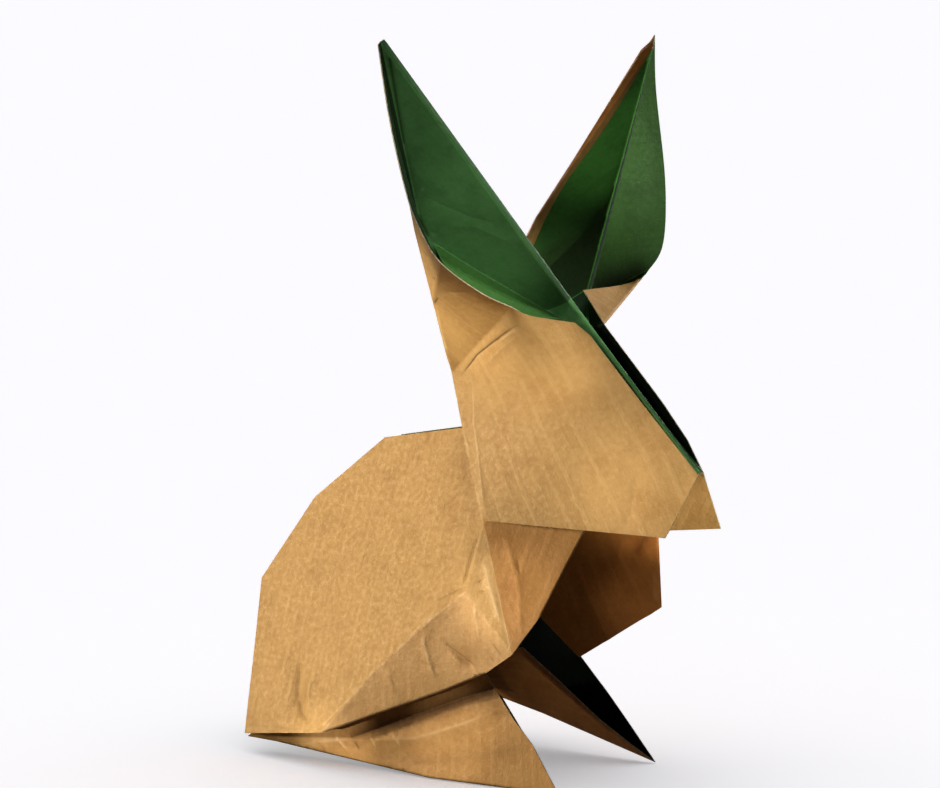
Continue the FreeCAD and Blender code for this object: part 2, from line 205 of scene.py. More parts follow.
# Panels that the folder's hand left different on the two halves.
RIGHT_PANELS = dict(
    ear_wall="ear_tip_outer lip_high lip_widest lip_turn lip_corner ear_crease ear_back_outer",
    cheek="lip_corner lip_side crease_lip neck_outer ear_crease",
    head="shoulder_low jaw chin muzzle_nose muzzle_front muzzle_bridge cheek_top lip_end lip_low "
         "crease_lip neck_outer shoulder_top",
)
LEFT_PANELS = dict(
    ear_wall="ear_tip_outer lip_high lip_widest lip_turn lip_corner neck_outer ear_crease "
             "ear_back_outer",
    cheek_back="lip_corner cheek_top neck_outer",
    cheek="lip_corner lip_side crease_lip lip_low lip_end cheek_top",
    head="shoulder_low jaw chin muzzle_nose muzzle_front muzzle_bridge cheek_top neck_outer "
         "shoulder_top",
)

# The narrow panel where the two halves meet at the throat.
THROAT = ["right_throat_back", "right_throat_front", "left_throat_front", "left_throat_back"]

# Folds so soft that they show no pale worn line.
SOFT_FOLDS = (
    {"thigh_high", "knee"}, {"thigh_high", "shoulder_low"},
    {"lip_corner", "ear_crease"}, {"crease_lip", "neck_outer"},
)

# Panels too close to another one to ripple.
STILL = ("left_cheek_back", "left_crown_inside", "left_head_inside", "left_head_lining")

# Rib direction on the panels where it is set, carried across the folds to the others.
RIBS = dict(
    right_haunch=(0.02, 0.35, 0.94),
    right_head=(-0.56, 0.21, 0.8),
    left_chest_lining=(-0.16, -0.46, 0.87),
)

# Painted light and shade: a colour factor for each panel against the plain paper, with the dark
# of deep folds and hollows worked in. Below one paints shade, above one paints light.
BROWN_PAINTED_LIGHT = dict(
    right_thigh=(1.03, 1.03, 1.2), right_thigh_front=(1.05, 1.08, 1.2),
    right_head=(0.98, 1, 1.08), right_chest=(0.82, 0.7, 0.62),
    right_foot_wall=(0.97, 0.9, 0.88), left_cheek=(0.86, 0.88, 1),
    left_fold_0=(1.9, 1.3, 0.85), left_chest=(0.85, 0.65, 0.5),
    left_chest_lining=(0.95, 0.62, 0.42), left_head_inside=(0.9, 0.6, 0.4),
    left_foot_inside=(1.1, 0.78, 0.62), left_ear_lining=(0.75, 0.55, 0.35),
)
# On the green side a yellow cast paints light shining through the paper.
GREEN_PAINTED_LIGHT = dict(
    right_ear_wall=0.15, right_cheek=(0.4, 0.4, 0.3),
    right_shelf=(0.9, 0.95, 0.7), right_fold_1=(0.46, 0.5, 0.46),
    right_fold_2=(1.7, 1.75, 1.8), left_fold_1=(0.12, 0.16, 0.1),
    left_foot_wall=0.05, right_foot_inside=(2, 2.1, 1.9),
    left_head=0.05, left_head_lining=0.25,
    left_cheek_back=0.2, right_head_inside=(2.4, 2.2, 2.3),
    right_fold_0=0.15, right_crown_inside=(2.2, 2.2, 2.4),
    left_ear_lining=(1.5, 2, 1.1), left_ear_wall=(0.95, 0.95, 0.56),
)

# Panels whose crease marks show on the green side instead of the brown one.
GREEN_MARKED = ("right_ear_face", "right_crown_inside", "left_ear_lining", "left_ear_wall")

# Creases, dents, painted shade and painted highlights on each panel: three of its corners, then
# each crease as (rise to the brown side, width, mark, places along it). A place is two numbers:
# how many percent of the way it lies from the first corner to the second, and to the third. A
# mark below zero paints shade in the crease colour, and one above zero paints a pale highlight
# in the worn colour.
CREASES = dict(
    right_thigh=("haunch_foot knee thigh_high", (
        # The crumple across the underside.
        (-0.5, 1.3, -0.1, 0, 75, 35, 40, 80, 0),
        (-0.25, 0.35, -0.45, 20, 55, 75, 5),
        # Ridges and nicks around it.
        (0.35, 0.9, 0.4, 0, 70, 50, 10),
        (0.35, 0.9, 0.1, 5, 70, 65, 10),
        (-0.15, 0.35, -0.15, 20, 40, 45, 20),
        (0.25, 0.9, 0.3, 20, 80, 60, 30),
        # Pinches under the knee, and soft ridges near the tail.
        (-0.2, 0.3, -0.45, 70, 25, 85, 10, 95, 0),
        (-0.15, 0.3, -0.3, 80, 10, 90, 0),
        (0.25, 0.8, 0.15, 0, 45, 30, 10),
        (0.15, 0.8, 0.1, 0, 25, 20, 5),
    )),
    right_thigh_front=("shoulder_low knee thigh_high", (
        # A painted highlight band in front of the ridge, and two nicks.
        (0.2, 1.8, 0.5, 15, 25, 35, 25, 70, 15),
        (-0.15, 0.3, -0.5, 15, 60, 30, 20),
        (-0.15, 0.3, -0.4, 20, 60, 35, 35),
    )),
    right_haunch=("tail thigh_high back_top", (
        # The dent above the near rear corner, and the ridge beside it.
        (-0.55, 1.6, -0.45, 12, 19, 20, 5, 30, -7, 40, -16),
        (0.25, 1.1, 0.2, 25, 8, 38, -14),
        # The pinch behind the knee, and shade above it.
        (-0.3, 0.8, -0.4, 97, 3, 93, 12, 87, 27),
        (0, 16, -0.3, 50, 75, 80, 35),
        (-0.15, 0.3, -0.4, 83, 5, 97, 3),
        # A painted highlight along the thigh's fold, and painted shade under the tail.
        (0, 0.5, 0.35, 48, -19, 86, 0),
        (0, 1.2, -0.2, 0, 3, 47, -21),
    )),
    right_foot_wall=("heel toe foot_top_front", (
        # The ridge along the foot with a painted highlight, and painted shade below and above it.
        (0.45, 3.2, 0.6, 6, 0, 17, 10, 38, 22, 44, 39, 47, 55),
        (0, 8, -0.3, 40, 0, 53, 7, 70, 27),
        (0, 8, -0.8, 20, 16, 29, 43, 35, 65),
        # A row of short crumples across the ridge, with painted highlights and shade.
        (-0.2, 0.3, -0.5, 13, 5, 19, 0),
        (0.2, 0.35, 0.6, 15, 13, 26, 3),
        (-0.2, 0.35, -0.45, 18, 16, 28, 6),
        (0.2, 0.35, 0.6, 23, 19, 33, 9),
        (-0.2, 0.35, -0.3, 27, 22, 35, 12),
        (0.15, 0.4, 0.5, 28, 24, 38, 14),
        (0.1, 0.7, 0.15, 40, 25, 53, 18),
        (0.1, 0.8, 0.15, 45, 39, 67, 22),
    )),
    right_head=("neck_outer crease_lip shoulder_low", (
        # The fine crease from the neck to the lip, and painted highlights beside it.
        (-0.15, 0.3, -0.8, 10, 6, 38, 4, 95, 8),
        (0.1, 0.3, 0.25, 42, 12, 89, 12),
        (0.1, 0.3, 0.5, 68, 8, 91, 9),
        # A soft ridge down the neck, and a dent above the jaw.
        (0.2, 0.8, 0.4, 23, 9, 9, 38, 2, 97),
        (-0.2, 2.5, -0.1, 130, 113, 103, 150),
    )),
    right_cheek=("ear_crease lip_corner neck_outer", (
        # A nick, a ridge beside the ear's back fold, and a dent under the lip.
        (-0.1, 0.3, -0.7, 1, 5, 23, 11),
        (0.2, 0.6, 0.5, 6, 13, 2, 43, 3, 76),
        (-0.15, 0.8, -0.1, 46, 22, 95, 78),
    )),
    right_ear_wall=("ear_back_outer lip_corner ear_crease", (
        # Nicks, and a ridge with a painted highlight, where the ear begins.
        (-0.1, 0.3, -0.7, 19, 20, 39, 19),
        (-0.1, 0.3, -0.7, 35, 50, 50, 46),
        (0.1, 0.5, 0.6, 10, 12, 17, 35),
    )),
    right_chest=("shoulder_low chest_top knee", (
        (-0.1, 0.25, -0.5, 23, 30, 22, 43),
        (0.2, 1.2, 0.1, 17, 10, 20, 50, 12, 90),
    )),
    right_ear_face=("ear_back_inner ear_tip_inner brow_inner", (
        # Shade along the back fold, and soft crumples above the ledge.
        (0, 1.6, -0.8, 93, 4, 43, 1, 7, 1, -3, 5),
        (0.15, 0.35, 0.5, 24, 6, 28, 10),
        (0.1, 0.4, 0.3, 1, 7, 2, 12),
        (0.1, 0.8, 0, 22, 10, 23, 39, 27, 60),
        (-0.1, 0.9, -0.1, 9, 16, 19, 44, 19, 68),
    )),
    left_ear_lining=("lining_foot ear_tip_lining brow_lining", (
        # Painted shade: the lining grows darker towards its foot, in the near ear's shadow.
        (0, 3, -0.5, 70, 30, 50, 50, 15, 77),
        (0, 30, -1.1, 0, 40, 0, 80),
        (0, 12, -0.6, 28, 60, 0, 70),
    )),
    left_ear_wall=("ear_crease lip_corner ear_back_outer", (
        # Painted shade low on the wall, near the lip.
        (0, 18, -1, 70, -13, 94, -5),
    )),
    left_chest_lining=("chest_lining_top chest_top chest_low", (
        # Painted shade under the chin, and painted light along the front edge.
        (0, 7, -0.6, 80, 10, 40, 35),
        (0.25, 3, 0.5, 38, 55, 0, 94),
        (0.2, 0.8, 0.3, -42, 50, -75, 125),
    )),
    left_foot_inside=("sole_middle toe inner_edge_middle", (
        # A painted highlight along the lower edge of the far foot.
        (0, 0.5, 0.8, 10, 0, 95, 0),
    )),
    left_head_lining=("lining_end brow_lining bridge_lining", (
        # Pushed in where it would meet the near layers.
        (-1.2, 4, 0, -23, 62, 7, 86),
    )),
)

# Ribs: their pitch in millimetres, how far they waver, and the patches where they fade.
RIB_PITCH = 2.2
RIB_WOBBLE = 5
PATCH_STRETCH = (0.45, 0.09, 1)

# Fine patterns on the paper as (scale, detail, roughness). Fibres are drawn out along the ribs.
GRAIN = (1.3, 3, 0.65)
SPECK = (3.4, 3, 0.7)
CLOUD = (0.2, 4, 0.6)
FIBRE = (1, 3, 0.65)
FIBRE_STRETCH = (4, 0.9, 1)
FRAY = (1.6, 3, 0.6)

# Colours, as dark, plain, light and worn paper. The worn colour also paints highlights along
# crease marks.
BROWN = ((0.47, 0.235, 0.06, 1), (0.58, 0.315, 0.09, 1), (0.72, 0.425, 0.14, 1),
         (0.86, 0.58, 0.25, 1))
GREEN = ((0.04, 0.115, 0.03, 1), (0.06, 0.165, 0.045, 1), (0.085, 0.22, 0.065, 1),
         (0.17, 0.30, 0.12, 1))
PAPER_SHINE = 0.16
# Painted shade in creases, dents and hollows.
CREASE_SHADE = (0.16, 0.12, 0.08, 1)
CUT_DARK = (0.42, 0.36, 0.2, 1)
CUT_PALE = (0.62, 0.5, 0.32, 1)

# Table top and surroundings.
TABLE_REACH = 18
TABLE_MOTTLE = 0.985
FLOOR_COLOUR = (0.9, 0.89, 0.92, 1)
FLOOR_BOUNCE = (0.16, 0.155, 0.16, 1)
FLOOR_GLOW = (0.98, 0.97, 1.0, 1)
FLOOR_GLOW_STRENGTH = 0.3
BACKDROP = (0.985, 0.98, 1.0, 1)
ROOM_LIGHT = 0.04

# Camera: its place from the neck in metres, degrees turned and tipped, and lens in millimetres.
CAMERA_PLACE = (0.29539, -0.42186, 0.1129)
CAMERA_TURN = 35
CAMERA_TIP = 6.728
CAMERA_LENS = 140.88
SENSOR_WIDTH = 36
NEAREST, FARTHEST = 0.02, 60

# Suns as (name, degrees left of the camera, degrees above the table, strength, spread).
SUNS = (
    ("ceiling", 0, 90, 0.4, 90),
    ("table_sun", 180, 75, 1.93, 110),
)

# Spot lamps in groups as (name, aim in millimetres, beam radius, blend, lamps), and each lamp as
# (degrees left, degrees up, level). The level is how light plain white paper looks when it faces
# the lamp.
SPOTS = (
    ("left_window", (12, 0, 23), 46, 0.15, (
        (64, 12, 0.235), (76, 22, 0.21), (87, 8, 0.21), (96, 25, 0.2), (106, 14, 0.2))),
    ("right_window", (9, 0, 88), 38, 0.3, ((280, 13, 0.4), (290, 18, 0.32))),
    ("ear_lamp_high", (7, -23, 90), 14, 0.9, ((350, 14, 0.62),)),
    ("ear_lamp_low", (9, -11, 74), 13, 0.9, ((350, 14, 0.8),)),
    ("far_ear_lamp", (10.5, 20, 86), 12, 1, ((350, 12, 0.2),)),
    ("head_lamp", (26, -6, 48), 17, 1, ((20, 12, 0.28),)),
    ("knee_lamp", (14.5, -15.2, 27), 5, 1, ((50, 10, 0.5),)),
    ("far_haunch_lamp", (24, 12.5, 23.5), 4.5, 1, ((340, 4, 0.15),)),
    ("foot_lamp", (-14, -12.6, 1.5), 5, 1, ((40, 2, 0.5),)),
    ("foot_ridge_lamp", (6, -12.4, 6), 5, 1, ((25, 6, 0.32),)),
    ("back_window", (0, 0, 50), 75, 0.3, ((180, 20, 0.26), (215, 10, 0.2), (150, 14, 0.16))),
    ("cheek_lamp", (2, -14, 65), 12, 0.8, ((55, 4, 0.62),)),
    ("muzzle_lamp", (37.5, 5, 38), 7, 1, ((338, 5, 1.6),)),
    ("brow_lamp", (19, -8, 59), 9, 1, ((340, 14, 0.7),)),
    ("jaw_lamp", (32, -6, 42), 11, 1, ((0, 8, 0.35),)),
)
SPOT_DISTANCE = 1.0
SPOT_SIZE = 0.25


def corner_places():
    """Every corner as a point, under the half's name and its own."""
    places = {}
    for half, side, corners in ((RIGHT, -1, CORNERS), (LEFT, 1, CORNERS | LEFT_CORNERS)):
        for name, (forward, out, up) in corners.items():
            places[half + "_" + name] = np.array((forward, side * out, up))
    return places


PLACES = corner_places()


def pairs_round(loop):
    """Each corner of a loop with the next one."""
    return list(zip(loop, loop[1:] + loop[:1]))


def unit_rows(rows):
    """Each row as a unit direction."""
    return rows / np.maximum(np.linalg.norm(rows, axis=1), TINY)[:, None]


def curve_between(before, start, end, after, count):
    """Points from start to end on a Catmull-Rom curve."""
    points = []
    for step in range(count + 1):
        t = step / count
        first = -0.5 * t + t ** 2 - 0.5 * t ** 3
        second = 1 - 2.5 * t ** 2 + 1.5 * t ** 3
        third = 0.5 * t + 2 * t ** 2 - 1.5 * t ** 3
        fourth = -0.5 * t ** 2 + 0.5 * t ** 3
        points.append(first * before + second * start + third * end + fourth * after)
    return points


class Stretches(dict):
    """Points along every stretch between corners, shared by the panels on both sides."""

    def add(self, start, end, points):
        self[start, end] = points
        self[end, start] = points[::-1]

    def count(self, start, end):
        """How many facets fit between two corners."""
        return max(1, round(float(np.linalg.norm(PLACES[end] - PLACES[start])) / SPACING))

    def add_straight(self, start, end, count):
        reach = PLACES[end] - PLACES[start]
        self.add(start, end, [PLACES[start] + reach * step / count for step in range(count + 1)])

    def add_curve(self, names):
        """A smooth run through the named corners."""
        corners = [PLACES[name] for name in names]
        corners = [2 * corners[0] - corners[1]] + corners + [2 * corners[-1] - corners[-2]]
        for index, (start, end) in enumerate(zip(names, names[1:])):
            count = self.count(start, end)
            self.add(start, end, curve_between(*corners[index:index + 4], count))

    def add_fold(self, outer, inner):
        """Both edges of a narrow fold, with as many points each, and its two ends."""
        for index in range(len(outer) - 1):
            count = self.count(outer[index], outer[index + 1])
            for run in (outer, inner):
                self.add_straight(run[index], run[index + 1], count)
        for start, end in ((outer[0], inner[0]), (outer[-1], inner[-1])):
            reach = PLACES[end] - PLACES[start]
            self.add(start, end, [PLACES[start] + reach * share for share in FOLD_SHARES])

    def add_loop(self, loop):
        """Straight stretches round a panel wherever there are none yet."""
        for start, end in pairs_round(loop):
            if (start, end) not in self:
                self.add_straight(start, end, self.count(start, end))

    def run(self, names):
        """Points along a run of corner names."""
        runs = [self[pair] for pair in zip(names, names[1:])]
        return [point for run in runs for point in run[:-1]] + [runs[-1][-1]]

    def round(self, loop):
        """Points round a loop of corner names, each one once."""
        return np.array([point for pair in pairs_round(loop) for point in self[pair][:-1]])


def in_half(half, names):
    """Full names of one half's corners, as a list."""
    return [half + "_" + name for name in names.split()]


def panels_of(half):
    """Every panel of one half."""
    return PANELS | (LEFT_PANELS if half == LEFT else RIGHT_PANELS)


def all_stretches():
    """Every stretch: curves first, then narrow folds, then the straight rest."""
    stretches = Stretches()
    for half in (RIGHT, LEFT):
        for curve in CURVES:
            stretches.add_curve(in_half(half, curve))
        for outer, inner, bulge in NARROW_FOLDS:
            stretches.add_fold(in_half(half, outer), in_half(half, inner))
        for loop in panels_of(half).values():
            stretches.add_loop(in_half(half, loop))
    stretches.add_loop(THROAT)
    return stretches


def loop_plane(loop):
    """Middle, normal and two directions, all of unit length, of the plane nearest a loop."""
    middle = loop.mean(0)
    following = np.roll(loop, -1, 0)
    normal = np.cross(loop - middle, following - middle).sum(0)
    normal /= np.linalg.norm(normal)
    across = loop[len(loop) // 2] - loop[0]
    across = across - normal * (across @ normal)
    across /= np.linalg.norm(across)
    return middle, normal, across, np.cross(normal, across)


def inside_loop(points, loop):
    """True for each flat point that lies inside the loop."""
    following = np.roll(loop, -1, 0)
    inside = np.zeros(len(points), bool)
    for (ax, ay), (bx, by) in zip(loop, following):
        if ay == by:
            continue
        crosses = (ay > points[:, 1]) != (by > points[:, 1])
        inside ^= crosses & (points[:, 0] < (bx - ax) * (points[:, 1] - ay) / (by - ay) + ax)
    return inside


def distance_to(points, starts, ends):
    """Least distance from each point to any stretch, or far where there are none."""
    if len(starts) == 0:
        return np.full(len(points), FAR)
    along = ends - starts
    square = np.maximum((along ** 2).sum(1), TINY)
    reach = points[:, None, :] - starts[None]
    share = np.clip((reach * along[None]).sum(2) / square, 0, 1)
    gap = reach - share[..., None] * along[None]
    return np.sqrt((gap ** 2).sum(2).min(1))


def blended_heights(points, loop, heights):
    """Heights inside a loop that follow those round it smoothly (mean value weights)."""
    reach = loop[None] - points[:, None]
    length = np.maximum(np.sqrt((reach ** 2).sum(2)), TINY)
    following = np.roll(reach, -1, 1)
    cross = reach[..., 0] * following[..., 1] - reach[..., 1] * following[..., 0]
    dot = (reach * following).sum(2)
    cross = np.where(abs(cross) < TINY, TINY, cross)
    half_tan = (length * np.roll(length, -1, 1) - dot) / cross
    weight = (half_tan + np.roll(half_tan, 1, 1)) / length
    return (weight * heights[None]).sum(1) / weight.sum(1)


class Sheet:
    """The middle surface of the paper as it is put together, panel by panel."""

    def __init__(self):
        self.points = []
        self.numbers = {}
        self.facets = []
        self.facet_panel = []
        self.fold_gap = {}
        self.marks = {}

    def number(self, point, fold_gap, mark=0, green=False):
        """Number of a point, which panels that meet there share."""
        key = tuple(round(float(x), 3) for x in point)
        if key not in self.numbers:
            self.numbers[key] = len(self.points)
            self.points.append(np.array(point, float))
        number = self.numbers[key]
        self.fold_gap[number] = min(fold_gap, self.fold_gap.get(number, FAR))
        self.marks[number] = (0, mark) if green else (mark, 0)
        return number

    def add(self, facet, panel):
        if len(set(facet)) == 3:
            self.facets.append(facet)
            self.facet_panel.append(panel)


def all_loops():
    """Every panel and narrow fold as a loop of full corner names."""
    loops = {}
    for half in (RIGHT, LEFT):
        for name, loop in panels_of(half).items():
            loops[half + "_" + name] = in_half(half, loop)
        for index, (outer, inner, bulge) in enumerate(NARROW_FOLDS):
            loop = in_half(half, outer) + in_half(half, inner)[::-1]
            loops[half + "_fold_" + str(index)] = loop
    loops["throat"] = THROAT
    return loops


def rib_across(rib, along, normal, other_normal):
    """A rib direction carried over a fold onto the next panel."""
    return along * (rib @ along) + np.cross(other_normal, along) * (rib @ np.cross(normal, along))


def face_one_way(loops, stretches):
    """Turn the loops brown side forward. Returns each panel's rib direction, and the pairs of
    corners with a cut edge between them."""
    owners = {}
    for name, loop in loops.items():
        for pair in pairs_round(loop):
            owners.setdefault(frozenset(pair), []).append(name)
    first = RIGHT + "_haunch"
    if loop_plane(stretches.round(loops[first]))[1][1] > 0:
        loops[first] = loops[first][::-1]
    ribs = {first: np.array(RIBS[first], float)}
    waiting = [first]
    while waiting:
        name = waiting.pop(0)
        normal = loop_plane(stretches.round(loops[name]))[1]
        for start, end in pairs_round(loops[name]):
            along = stretches[start, end][-1] - stretches[start, end][0]
            along /= np.linalg.norm(along)
            for other in owners[frozenset((start, end))]:
                if other in ribs:
                    continue
                if (start, end) in pairs_round(loops[other]):
                    loops[other] = loops[other][::-1]
                other_normal = loop_plane(stretches.round(loops[other]))[1]
                turned = np.array(RIBS[other]) if other in RIBS else rib_across(
                    ribs[name], along, normal, other_normal)
                turned = turned - other_normal * (turned @ other_normal)
                ribs[other] = turned / np.linalg.norm(turned)
                waiting.append(other)
    return ribs, {pair for pair, names in owners.items() if len(names) == 1}


def paper_wander(point, seed):
    """Slight waviness of hand-folded paper, in millimetres."""
    place = Vector(point)
    broad = noise.noise(place / BROAD_WAVE[0] + Vector((seed, 0, 0)))
    fine = noise.noise(place / FINE_WAVE[0] + Vector((0, seed, 0)))
    return BROAD_WAVE[1] * broad + FINE_WAVE[1] * fine


def panel_creases(name, flatten):
    """The creases of one panel, with their runs as flat points."""
    if name not in CREASES:
        return []
    frame_corners, creases = CREASES[name]
    corners = in_half(name.split("_")[0], frame_corners)
    base, along, aside = flatten(np.array([PLACES[corner] for corner in corners]))
    flat_creases = []
    for height, width, tone, *run in creases:
        shares = np.array(run).reshape(-1, 2) / 100
        run = base + shares[:, :1] * (along - base) + shares[:, 1:] * (aside - base)
        flat_creases.append((run, height, width, tone))
    return flat_creases


def crease_shape(points, creases):
    """Rise and mark that the creases give at each flat point."""
    rise, mark = np.zeros(len(points)), np.zeros(len(points))
    for run, height, width, tone in creases:
        gap = distance_to(points, run[:-1], run[1:])
        from_ends = np.minimum(np.linalg.norm(points - run[0], axis=1),
                               np.linalg.norm(points - run[-1], axis=1))
        fade_length = END_SHARE * np.linalg.norm(run[-1] - run[0]) + END_LENGTH
        taper = np.clip(END_SHARE + from_ends / fade_length, 0, 1)
        rise += height * taper * np.exp(-RISE_FADE * gap / width)
        mark_width = max(LEAST_MARK_WIDTH, 0.5 * width)
        mark += tone * (taper if height else 1) * np.exp(-MARK_FADE * gap / mark_width)
    return rise, mark


def thin_out(points, least):
    """Drop each flat point that is too near one already kept."""
    kept = []
    for point in points:
        if not kept or np.linalg.norm(np.array(kept) - point, axis=1).min() >= least:
            kept.append(point)
    return np.array(kept) if kept else np.zeros((0, 2))


def crease_points(creases):
    """Flat points along every crease and in rows beside it."""
    lines = [np.zeros((0, 2))]
    for run, height, width, tone in creases:
        for start, end in zip(run[:-1], run[1:]):
            count = max(1, round(np.linalg.norm(end - start) / CREASE_SPACING))
            lines.append(start + (end - start) * np.linspace(0, 1, count + 1)[:, None])
    lines = np.concatenate(lines)
    shifts = [(0, 0)]
    for row in CREASE_ROWS:
        shifts += [(row, 0), (-row, 0), (0, row), (0, -row)]
    return thin_out(np.concatenate([lines + np.array(shift) for shift in shifts]), CREASE_CLEAR)


def even_grid(flat, starts, ends):
    """Evenly spaced flat points inside a loop, clear of its edges."""
    low, high = flat.min(0), flat.max(0)
    grid = []
    for row, y in enumerate(np.arange(low[1], high[1], SPACING * ROW_SHARE)):
        for x in np.arange(low[0] + (row % 2) * SPACING / 2, high[0], SPACING):
            grid.append((x, y))
    grid = np.array(grid) if grid else np.zeros((0, 2))
    grid = grid[inside_loop(grid, flat)]
    return grid[distance_to(grid, starts, ends) > FOLD_RING + GRID_FROM_RING * SPACING]


def ring_inside(flat, starts, ends, at_fold):
    """Flat points in a ring close inside the folds of a loop."""
    step = ends - starts
    inward = unit_rows(np.stack((-step[:, 1], step[:, 0]), 1))
    inward = unit_rows(inward + np.roll(inward, 1, 0))
    ring = (flat + inward * FOLD_RING)[at_fold]
    ring = ring[inside_loop(ring, flat)]
    return ring[distance_to(ring, starts, ends) > RING_FROM_EDGE * FOLD_RING]


def inner_points(flat, at_fold, creases):
    """All flat points inside a loop: an even grid, a ring beside its folds, and creases."""
    starts, ends = flat, np.roll(flat, -1, 0)
    grid = even_grid(flat, starts, ends)
    ring = ring_inside(flat, starts, ends, at_fold)
    beside = crease_points(creases)
    beside = beside[inside_loop(beside, flat)]
    beside = beside[distance_to(beside, starts, ends) > CREASE_CLEAR]
    if len(beside):
        grid = grid[distance_to(grid, beside, beside) > GRID_FROM_CREASE]
        ring = ring[distance_to(ring, beside, beside) > RING_FROM_CREASE]
    return np.concatenate((grid, ring, beside))


def edge_kinds(loop, stretches, cuts):
    """Whether each facet edge round a loop is cut, and whether it is a soft fold."""
    on_cut, soft = [], []
    for start, end in pairs_round(loop):
        count = len(stretches[start, end]) - 1
        on_cut += [frozenset((start, end)) in cuts] * count
        ends = {start.split("_", 1)[1], end.split("_", 1)[1]}
        soft += [ends in SOFT_FOLDS] * count
    return np.array(on_cut), np.array(soft)


def ripple(body, name, normal, fold_gap, cut_gap, crease_rise):
    """Push a panel's points in and out by its waves and creases."""
    seed = sum(ord(letter) * place for place, letter in enumerate(name, 3)) % SEEDS * SEED_STEP
    wander = [paper_wander(point, seed) for point in body]
    fade = np.minimum(1, fold_gap / WAVE_TO_FOLD)
    calm = np.minimum(1, WAVE_AT_CUT + cut_gap / CUT_CALM) * (name not in STILL)
    rise = calm * fade * fade * (3 - 2 * fade) * wander
    rise += crease_rise * np.minimum(1, fold_gap / CREASE_TO_FOLD)
    body += normal * rise[:, None]


def add_facets(sheet, name, flat, rim_count, body, worn_gap, mark):
    """Join a panel's points into facets that keep to its rim."""
    points = [Vector(point) for point in flat]
    edges = pairs_round(list(range(rim_count)))
    made = geometry.delaunay_2d_cdt(points, edges, [], INSIDE_ONLY, MERGE)
    facets, origins = made[2:4]
    green = name in GREEN_MARKED
    numbers = {}
    for corners in facets:
        sources = [origins[corner][0] for corner in corners]
        for index in sources:
            if index not in numbers:
                numbers[index] = sheet.number(body[index], worn_gap[index], mark[index], green)
        first, second, third = flat[sources]
        if np.cross(second - first, third - first) < 0:
            sources = sources[::-1]
        sheet.add([numbers[index] for index in sources], name)


def add_panel(sheet, name, loop, stretches, cuts):
    """Fill one loop with small facets that bend smoothly to meet its edges."""
    points = stretches.round(loop)
    on_cut, soft = edge_kinds(loop, stretches, cuts)
    middle, normal, across, up = loop_plane(points)

    def flatten(places):
        return np.stack(((places - middle) @ across, (places - middle) @ up), 1)

    rim = flatten(points)
    heights = (points - middle) @ normal
    creases = panel_creases(name, flatten)
    inner = inner_points(rim, ~on_cut | ~np.roll(on_cut, 1), creases)
    flat = np.concatenate((rim, inner))
    height = np.concatenate((heights, blended_heights(inner, rim, heights)))
    body = middle + flat[:, :1] * across + flat[:, 1:] * up + height[:, None] * normal
    body[:len(points)] = points

    starts, ends = rim, np.roll(rim, -1, 0)
    sharp = ~on_cut & ~soft
    fold_gap = distance_to(flat, starts[~on_cut], ends[~on_cut])
    cut_gap = distance_to(flat, starts[on_cut], ends[on_cut])
    worn_gap = distance_to(flat, starts[sharp], ends[sharp])
    crease_rise, mark = crease_shape(flat, creases)
    ripple(body, name, normal, fold_gap, cut_gap, crease_rise)
    add_facets(sheet, name, flat, len(rim), body, worn_gap, mark)


def add_narrow_fold(sheet, name, loop, stretches, bulge):
    """A narrow rounded fold between two edges."""
    half = len(loop) // 2
    first = stretches.run(loop[:half])
    second = stretches.run(loop[half:][::-1])
    normal = loop_plane(stretches.round(loop))[1]
    numbers = []
    for place, (here, there) in enumerate(zip(first, second)):
        taper = min(1.0, place / FOLD_TAPER, (len(first) - 1 - place) / FOLD_TAPER)
        width = np.linalg.norm(there - here)
        for share in FOLD_SHARES:
            lift = bulge * taper * width * 4 * share * (1 - share)
            numbers.append(sheet.number(here + (there - here) * share + normal * lift, 0.0))
    columns = len(FOLD_SHARES)
    for index in range(len(numbers) - columns):
        if index % columns < columns - 1:
            a, b, c, d = (numbers[index + step] for step in (0, 1, columns, columns + 1))
            sheet.add([a, c, b], name)
            sheet.add([c, d, b], name)


def point_normals(points, facets):
    """Unit normal of the surface at each point, each facet counting by its angle there."""
    corners = points[facets]
    square = unit_rows(np.cross(corners[:, 1] - corners[:, 0], corners[:, 2] - corners[:, 0]))
    lean = np.zeros_like(points)
    for turn in range(3):
        ahead = corners[:, (turn + 1) % 3] - corners[:, turn]
        behind = corners[:, (turn + 2) % 3] - corners[:, turn]
        cosine = (ahead * behind).sum(1) / np.maximum(
            np.linalg.norm(ahead, axis=1) * np.linalg.norm(behind, axis=1), TINY)
        angle = np.arccos(np.clip(cosine, -1, 1))
        np.add.at(lean, facets[:, turn], square * angle[:, None])
    return unit_rows(lean)


def add_values(mesh, name, values):
    """Keep one number for each of the mesh's points."""
    values = np.array(values, np.float32)
    mesh.attributes.new(name, "FLOAT", "POINT").data.foreach_set("value", values)


def panel_tints(light_paint, panels):
    """Painted light and shade as a colour factor for each facet. A factor may be one number for
    all three colours.
    """
    return [tuple(np.broadcast_to(light_paint.get(name, 1), 3)) + (1,) for name in panels]


def add_sheet_map(mesh, points, frames, panels):
    """Flat places on the sheet in millimetres, along and across each panel's ribs."""
    corner_points = np.zeros(len(mesh.loops), np.int64)
    mesh.loops.foreach_get("vertex_index", corner_points)
    corner_faces = np.repeat(np.arange(len(panels)), [face.loop_total for face in mesh.polygons])
    bases = np.array([frames[name] for name in panels])
    where = np.concatenate((points, points))[corner_points]
    flat = np.einsum("ij,ikj->ik", where, bases[corner_faces])
    mesh.uv_layers.new(name="sheet_mm").data.foreach_set("uv", flat.astype(np.float32).ravel())


def sharpen_rims(mesh, rims, total):
    """Keep the shading sharp along both sides of every cut edge."""
    both = {frozenset((a + side, b + side)) for a, b in rims for side in (0, total)}
    sharp = [frozenset(edge.vertices) in both for edge in mesh.edges]
    mesh.attributes.new("sharp_edge", "BOOLEAN", "EDGE").data.foreach_set("value", sharp)


